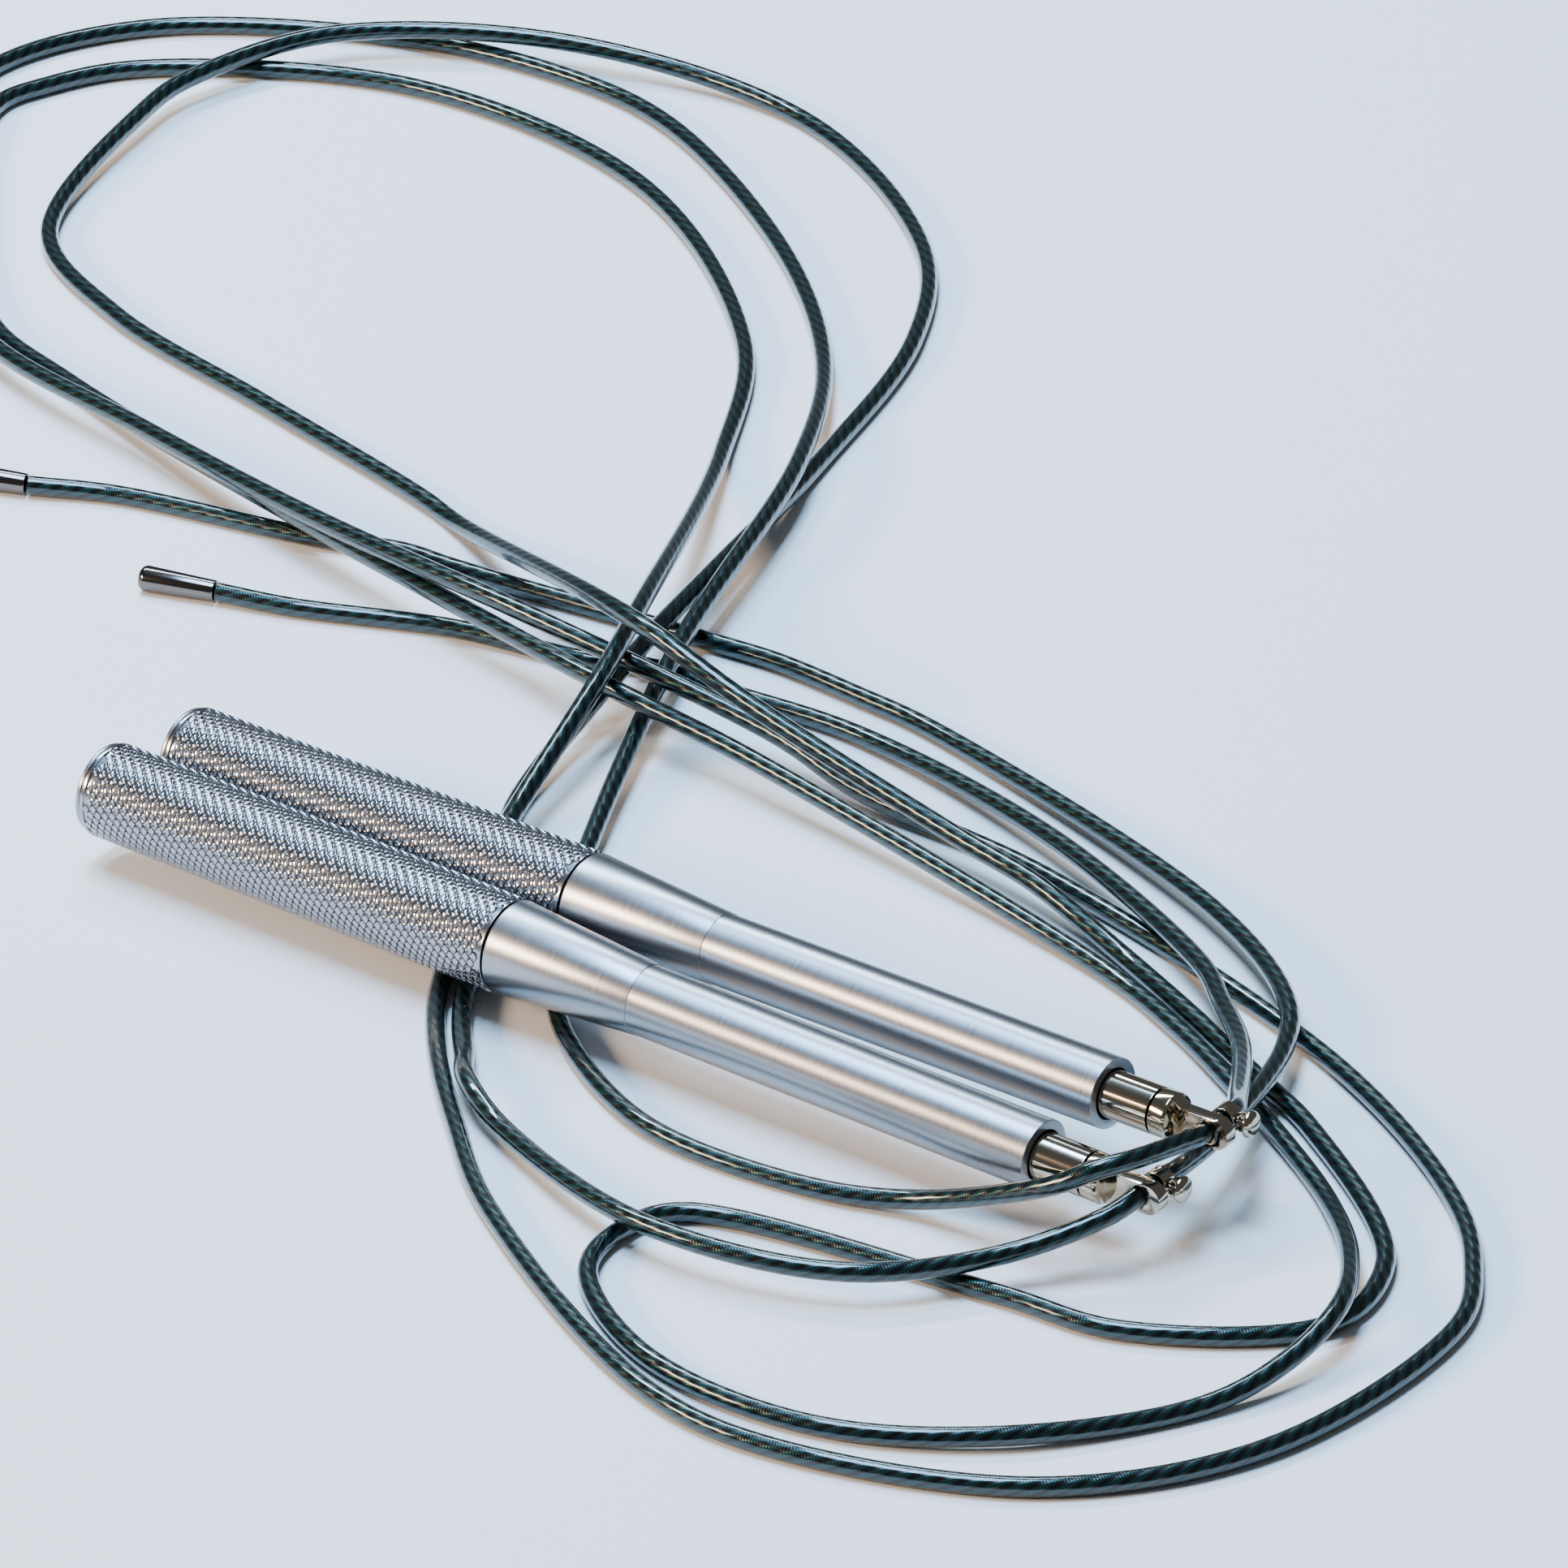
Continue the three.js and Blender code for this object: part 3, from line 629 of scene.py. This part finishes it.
def knurl_tree():
    """Winds a line of points round the grip, and puts a pad on each."""
    tree = bpy.data.node_groups.new("knurled grip", "GeometryNodeTree")
    for name, kind in (
        ("Tube", "Geometry"), ("Pad", "Object"), ("Pad Count", "Int"), ("First Pad", "Float"),
        ("Step Along", "Float"), ("Turn Per Pad", "Float"), ("Radius", "Float"),
        ("Finish", "Material"),
    ):
        tree.interface.new_socket(name, in_out="INPUT", socket_type="NodeSocket" + kind)
    tree.interface.new_socket("Grip", in_out="OUTPUT", socket_type="NodeSocketGeometry")
    given = add_node(tree, "NodeGroupInput").outputs
    result = add_node(tree, "NodeGroupOutput")
    line = add_node(tree, "GeometryNodeMeshLine", mode="OFFSET")
    index = add_node(tree, "GeometryNodeInputIndex").outputs[0]
    angle = math_node(tree, "MULTIPLY", index, given["Turn Per Pad"])
    step = math_node(tree, "MULTIPLY", index, given["Step Along"])
    along = math_node(tree, "ADD", step, given["First Pad"])
    sine = math_node(tree, "MULTIPLY", math_node(tree, "SINE", angle), given["Radius"])
    across = math_node(tree, "MULTIPLY", sine, -1.0)
    up = math_node(tree, "MULTIPLY", math_node(tree, "COSINE", angle), given["Radius"])
    spot = add_node(tree, "ShaderNodeCombineXYZ")
    turn = add_node(tree, "ShaderNodeCombineXYZ")
    for value, socket in zip((along, across, up), spot.inputs):
        tree.links.new(value, socket)
    tree.links.new(angle, turn.inputs[0])
    placed = add_node(tree, "GeometryNodeSetPosition")
    source = add_node(tree, "GeometryNodeObjectInfo")
    scatter = add_node(tree, "GeometryNodeInstanceOnPoints")
    join = add_node(tree, "GeometryNodeJoinGeometry")
    real = add_node(tree, "GeometryNodeRealizeInstances")
    finish = add_node(tree, "GeometryNodeSetMaterial")
    for start, end in (
        (given["Pad Count"], line.inputs["Count"]),
        (line.outputs[0], placed.inputs["Geometry"]),
        (spot.outputs[0], placed.inputs["Position"]),
        (given["Pad"], source.inputs["Object"]),
        (placed.outputs[0], scatter.inputs["Points"]),
        (source.outputs["Geometry"], scatter.inputs["Instance"]),
        (turn.outputs[0], scatter.inputs["Rotation"]),
        (given["Tube"], join.inputs[0]),
        (scatter.outputs[0], join.inputs[0]),
        (join.outputs[0], real.inputs[0]),
        (real.outputs[0], finish.inputs["Geometry"]),
        (given["Finish"], finish.inputs["Material"]),
        (finish.outputs[0], result.inputs[0]),
    ):
        tree.links.new(start, end)
    return tree


knurling = knurl_tree()
sockets = {item.name: item.identifier for item in knurling.interface.items_tree}
print("knurling inputs:", ", ".join(sockets))

# %% [markdown]
# ## Two grips from one tree
# Each grip starts as a plain turned tube with a smooth ring at its rear. The tree adds the pads,
# and the result is turned to a plain mesh before it gets its place.

# %% The two grips
GRIP_TUBE = [
    (GRIP_REAR, 5.6), (GRIP_REAR, GRIP_RADIUS), (-160.35, GRIP_RADIUS), (-160.35, PAD_BASE_RADIUS),
    (GRIP_FRONT, PAD_BASE_RADIUS), (GRIP_FRONT, 5.6),
]
pad_along = PAD_STEP_ALONG / LONG_ROW
pad_turn = NEXT_PAD_ROWS / LONG_ROW + PAD_STEP_ROUND / (LONG_ROW * GRIP_ROUND)
knurl_values = {
    "Pad": pad,
    "Pad Count": int((PAD_LAST - PAD_FIRST) / pad_along),
    "First Pad": PAD_FIRST * MM,
    "Step Along": pad_along * MM,
    "Turn Per Pad": -2 * math.pi * pad_turn,
    "Radius": GRIP_RADIUS * MM,
    "Finish": knurled,
}
for name, place in HANDLES.items():
    tube = piece(name + " grip tube", mesh_from(spun(GRIP_TUBE), name + " grip tube"), knurled)
    modifier = tube.modifiers.new("knurling", "NODES")
    modifier.node_group = knurling
    for key, value in knurl_values.items():
        modifier[sockets[key]] = value
    graph = bpy.context.evaluated_depsgraph_get()
    grip_mesh = bpy.data.meshes.new_from_object(tube.evaluated_get(graph))
    tube.modifiers.remove(modifier)
    bpy.data.objects.remove(tube)
    grip_mesh.shade_smooth()
    grip_mesh.set_sharp_from_angle(angle=SHARP_ANGLE)
    grip = piece(name + " knurled grip", grip_mesh, knurled, place)
    stand_for(grip, name + "_grip", name + "_handle")
    print(name, "grip:", knurl_values["Pad Count"], "pads,", len(grip_mesh.polygons), "faces")
bpy.data.objects.remove(pad)

# %% [markdown]
# ## Spindles
# The spindle is turned first: shaft, head and cone. Two flats are then milled on it, and its end
# is a thin round tab with the eye for the cable. In Blender, boolean cuts do the milling, as the
# cutter would. A small bevel afterwards breaks the edges.

# %% Spindle shapes
SPINDLE = [
    (-23, 0), (-23, 1.45), (8.15, 1.45), (8.15, 3.35), (10.4, 3.35), (12.6, 2.15), (12.9, 2.15),
    (12.9, 0),
]
TAB_HALF_THICKNESS = 1.0
TAB_HALF_HEIGHT = 2.15
TAB_END = 17.5
TAB_START = 11.6
TAB_ARC_STEPS = 32
FLATS_START = 10.8
FLATS_END = 14.5
CUTTER_REACH = 5
EYE_PLACE = 16.0
EYE_RADIUS = 1.6
SPINDLE_EDGE = 0.1


def shape(name, bm):
    """A working object for the cuts."""
    obj = bpy.data.objects.new(name, mesh_from(bm, name))
    bpy.context.scene.collection.objects.link(obj)
    return obj


def block(low, high):
    """A box between two corners."""
    bm = bmesh.new()
    size = [b - a for a, b in zip(low, high)]
    middle = [(a + b) / 2 * MM for a, b in zip(low, high)]
    bmesh.ops.create_cube(bm, size=1)
    bmesh.ops.scale(bm, vec=[s * MM for s in size], verts=bm.verts)
    bmesh.ops.translate(bm, vec=middle, verts=bm.verts)
    return bm


def rod(radius, half_length, axis, middle, sides=48):
    """A plain round rod, for holes."""
    bm = bmesh.new()
    bmesh.ops.create_cone(bm, cap_ends=True, segments=sides, radius1=radius * MM,
                          radius2=radius * MM, depth=2 * half_length * MM)
    turn = Vector((0, 0, 1)).rotation_difference(Vector(axis)).to_matrix()
    bmesh.ops.rotate(bm, matrix=turn, verts=bm.verts)
    bmesh.ops.translate(bm, vec=[v * MM for v in middle], verts=bm.verts)
    return bm


def flat_tab():
    """The tab's outline, pushed to its thickness across the handle's axis."""
    outline = [(TAB_START, -TAB_HALF_HEIGHT)]
    for i in range(TAB_ARC_STEPS + 1):
        angle = math.pi * (i / TAB_ARC_STEPS - 0.5)
        outline.append((TAB_END + TAB_HALF_HEIGHT * math.cos(angle),
                        TAB_HALF_HEIGHT * math.sin(angle)))
    outline.append((TAB_START, TAB_HALF_HEIGHT))
    bm = bmesh.new()
    low = [bm.verts.new((x * MM, -TAB_HALF_THICKNESS * MM, z * MM)) for x, z in outline]
    high = [bm.verts.new((x * MM, TAB_HALF_THICKNESS * MM, z * MM)) for x, z in outline]
    bm.faces.new(low)
    bm.faces.new(high[::-1])
    for i in range(len(outline)):
        k = (i + 1) % len(outline)
        bm.faces.new((low[i], high[i], high[k], low[k]))
    return bm


def cut_and_joined(name, base, steps, bevel):
    """The base shape after boolean steps and a small bevel, as a plain mesh."""
    main = shape(name, base)
    others = []
    for operation, bm in steps:
        other = shape(name + " tool", bm)
        others.append(other)
        modifier = main.modifiers.new(operation, "BOOLEAN")
        modifier.operation = operation
        modifier.solver = "EXACT"
        modifier.object = other
    edge = main.modifiers.new("edge", "BEVEL")
    edge.width = bevel * MM
    edge.segments = 2
    edge.limit_method = "ANGLE"
    edge.angle_limit = SHARP_ANGLE
    graph = bpy.context.evaluated_depsgraph_get()
    mesh = bpy.data.meshes.new_from_object(main.evaluated_get(graph))
    for obj in [main, *others]:
        obj.modifiers.clear()
        bpy.data.objects.remove(obj)
    mesh.shade_smooth()
    mesh.set_sharp_from_angle(angle=SHARP_ANGLE)
    return mesh


for name, place in HANDLES.items():
    steps = [
        ("DIFFERENCE", block((FLATS_START, TAB_HALF_THICKNESS, -CUTTER_REACH),
                             (FLATS_END, CUTTER_REACH, CUTTER_REACH))),
        ("DIFFERENCE", block((FLATS_START, -CUTTER_REACH, -CUTTER_REACH),
                             (FLATS_END, -TAB_HALF_THICKNESS, CUTTER_REACH))),
        ("UNION", flat_tab()),
        ("DIFFERENCE", rod(EYE_RADIUS, 3, (0, 1, 0), (EYE_PLACE, 0, 0))),
    ]
    mesh = cut_and_joined(name + " spindle", spun(SPINDLE, closed=False), steps,
                          SPINDLE_EDGE)
    spindle = piece(name + " spindle", mesh, polished_nickel, place)
    stand_for(spindle, name + "_spindle", "rope")
    print(name, "spindle:", len(mesh.polygons), "faces")

# %% [markdown]
# ## Stopper collars and thumb screws
# The collar is a short tube on the cable, beside the eye. Its screw has a knurled ring and a domed
# head for finger and thumb. The ring's teeth are a star outline pushed along the screw.

# %% Collars and screws
COLLAR = [(-1.225, 1.6), (-1.225, 1.85), (1.225, 1.85), (1.225, 1.6)]
COLLAR_PLACE = (15.9 * MM, 3.95 * MM, 0)
SCREW = [
    (1.72, 0), (1.72, 0.65), (2.1, 0.65), (2.1, 1.0), (3.35, 1.0), (3.35, 1.75), (3.55, 1.9),
    (3.9, 1.86), (4.25, 1.65), (4.5, 1.2), (4.62, 0.6), (4.65, 0),
]
TEETH = 22
TOOTH_DEPTH = 0.16
COLLAR_EDGE = 0.04
SCREW_EDGE = 0.03


def toothed_ring(rear, front, radius, depth):
    """The knurled ring of a screw: a star outline pushed along X."""
    bm = bmesh.new()
    loops = []
    for along in (rear, front):
        loop = []
        for i in range(TEETH * 2):
            angle = math.pi * i / TEETH
            out = (radius - depth * (i % 2)) * MM
            loop.append(bm.verts.new((along * MM, out * math.cos(angle), out * math.sin(angle))))
        loops.append(loop)
    bm.faces.new(loops[0])
    bm.faces.new(loops[1][::-1])
    for i in range(TEETH * 2):
        k = (i + 1) % (TEETH * 2)
        bm.faces.new((loops[0][i], loops[0][k], loops[1][k], loops[1][i]))
    return bm


for name, place in HANDLES.items():
    travel = Vector(joints[name + "_screw_travel"]["axis"]).normalized()
    up = (place.to_3x3() @ Vector((0, 0, 1))).normalized()
    stop = Matrix((travel, up.cross(travel), up)).transposed().to_4x4()
    stop.translation = place @ Vector(COLLAR_PLACE)
    ring = spun(COLLAR)
    bmesh.ops.rotate(ring, matrix=Matrix.Rotation(math.pi / 2, 3, "Z"), verts=ring.verts)
    steps = [("DIFFERENCE", rod(0.95, 1.3, (1, 0, 0), (2.2, 0, 0), 32))]
    mesh = cut_and_joined(name + " stopper collar", ring, steps, COLLAR_EDGE)
    collar = piece(name + " stopper collar", mesh, polished_nickel, stop)
    stand_for(collar, name + "_stopper_collar", "rope")
    steps = [("UNION", toothed_ring(2.35, 3.4, 1.4, TOOTH_DEPTH))]
    mesh = cut_and_joined(name + " thumb screw", spun(SCREW, closed=False), steps, SCREW_EDGE)
    screw = piece(name + " thumb screw", mesh, polished_nickel, stop)
    stand_for(screw, name + "_thumb_screw", name + "_thumb_screw_body")
    print(name, "collar and screw done")

# %% [markdown]
# ## Tail caps
# Each spare tail ends in a drawn metal cap, a little wider at its closed end, so that the wires
# can't fray.

# %% Tail caps
CAP_LENGTH = 11.7
CAP_MOUTH_RADIUS = 1.53
CAP_END_RADIUS = 1.93
CAP_ROUND = 1.1
CAP_ARC_STEPS = 8
CAP_EDGE_RADIUS = 0.2 * MM
CAP_ARC = [math.pi / 2 * i / CAP_ARC_STEPS for i in range(CAP_ARC_STEPS + 1)]
CAP_OUTLINE = [
    (0, 0), (0, CAP_MOUTH_RADIUS),
    *((CAP_LENGTH - CAP_ROUND + CAP_ROUND * math.sin(a),
       CAP_END_RADIUS - CAP_ROUND * (1 - math.cos(a))) for a in CAP_ARC),
    (CAP_LENGTH, 0),
]
CAPS = {
    "tail_cap_a": ((-0.1254, 0.0561, -0.008), -163),
    "tail_cap_b": ((-0.1678, 0.0643, -0.008), -160),
}
caps = {}
for node, (mouth, turn) in CAPS.items():
    place = Matrix.Translation(mouth) @ Matrix.Rotation(math.radians(turn), 4, "Z")
    mesh = mesh_from(spun(CAP_OUTLINE, closed=False, radius=CAP_EDGE_RADIUS), node)
    caps[node] = piece(node + " shell", mesh, dark_cap, place)
    stand_for(caps[node], node, "rope")
print("caps:", ", ".join(caps))

# %% [markdown]
# ## The cable's ends
# The main run leaves the far handle's eye and ends at the near one. Each tail leaves a stopper
# collar and ends in its cap. The cell only looks up each run's object, path and length again.

# %% Cords
obj, path, length = cables["cable_main"]
for node, cap in (("cable_tail_a", "tail_cap_a"), ("cable_tail_b", "tail_cap_b")):
    obj, path, length = cables[node]

# %% [markdown]
# ## Inside the barrels
# The bearings, spacer, washer and nut stay exactly as CAD has them. They only get ground steel.

# %% Bearing parts
INNER_PARTS = ("bearing", "spacer", "washer", "lock_nut")
for node, obj in frame["nodes"].items():
    if any(part in node for part in INNER_PARTS):
        obj.data.materials.clear()
        obj.data.materials.append(bearing_steel)
print("inner parts in bearing steel")

# %% [markdown]
# ## Floor and light
# A pale matte floor and three soft boxes: a cool one overhead, a bright narrow one behind that
# draws the long highlight on the handles, and a warm one at the front left. A dim sky fills the
# rest, so that the polished metal keeps some dark to set off its highlights.

# %% Floor
FLOOR_HALF = 6.0
floor_mesh = bpy.data.meshes.new("floor")
floor_z = bounds_at_start[0][2]
floor_mesh.from_pydata(
    [(-FLOOR_HALF, -FLOOR_HALF, floor_z), (FLOOR_HALF, -FLOOR_HALF, floor_z),
     (FLOOR_HALF, FLOOR_HALF, floor_z), (-FLOOR_HALF, FLOOR_HALF, floor_z)], [], [(0, 1, 2, 3)])
pale = new_material("pale floor", (0.92, 0.92, 0.92), 0.0, 0.9)[0]
floor = piece("floor", floor_mesh, pale)
print("floor at", round(floor_z, 5))

# %% [markdown]
# ## Soft boxes
# Every light is a rectangle that looks at the rope. Its distance and size set how soft it is, and
# its shape is what the polished metal and the cable's coat show as a line of light.

# %% Lights
SKY_COLOR = (0.86, 0.92, 1.0, 1)
SKY_STRENGTH = 0.14


def soft_box(name, direction, distance, size, power, color):
    """A rectangular light that looks at the origin from a direction."""
    data = bpy.data.lights.new(name, "AREA")
    data.shape = "RECTANGLE"
    data.size, data.size_y = size
    data.energy = power
    data.color = color
    light = bpy.data.objects.new(name, data)
    way = Vector(direction).normalized()
    light.location = way * distance
    light.rotation_euler = way.to_track_quat("Z", "Y").to_euler()
    bpy.context.scene.collection.objects.link(light)


soft_box("cool overhead box", (-0.15, -0.05, 1.0), 1.6, (0.9, 0.5), 54, (0.40, 0.66, 1.0))
soft_box("narrow box behind", (-0.55, 0.36, 0.76), 1.5, (0.9, 0.12), 20, (0.66, 0.84, 1.0))
soft_box("warm front box", (-0.55, -0.72, 0.42), 1.6, (0.7, 0.30), 36, (1.0, 0.75, 0.54))
world = bpy.data.worlds.new("studio")
world.use_nodes = True
background = world.node_tree.nodes["Background"]
background.inputs["Color"].default_value = SKY_COLOR
background.inputs["Strength"].default_value = SKY_STRENGTH
bpy.context.scene.world = world
print("lights set")
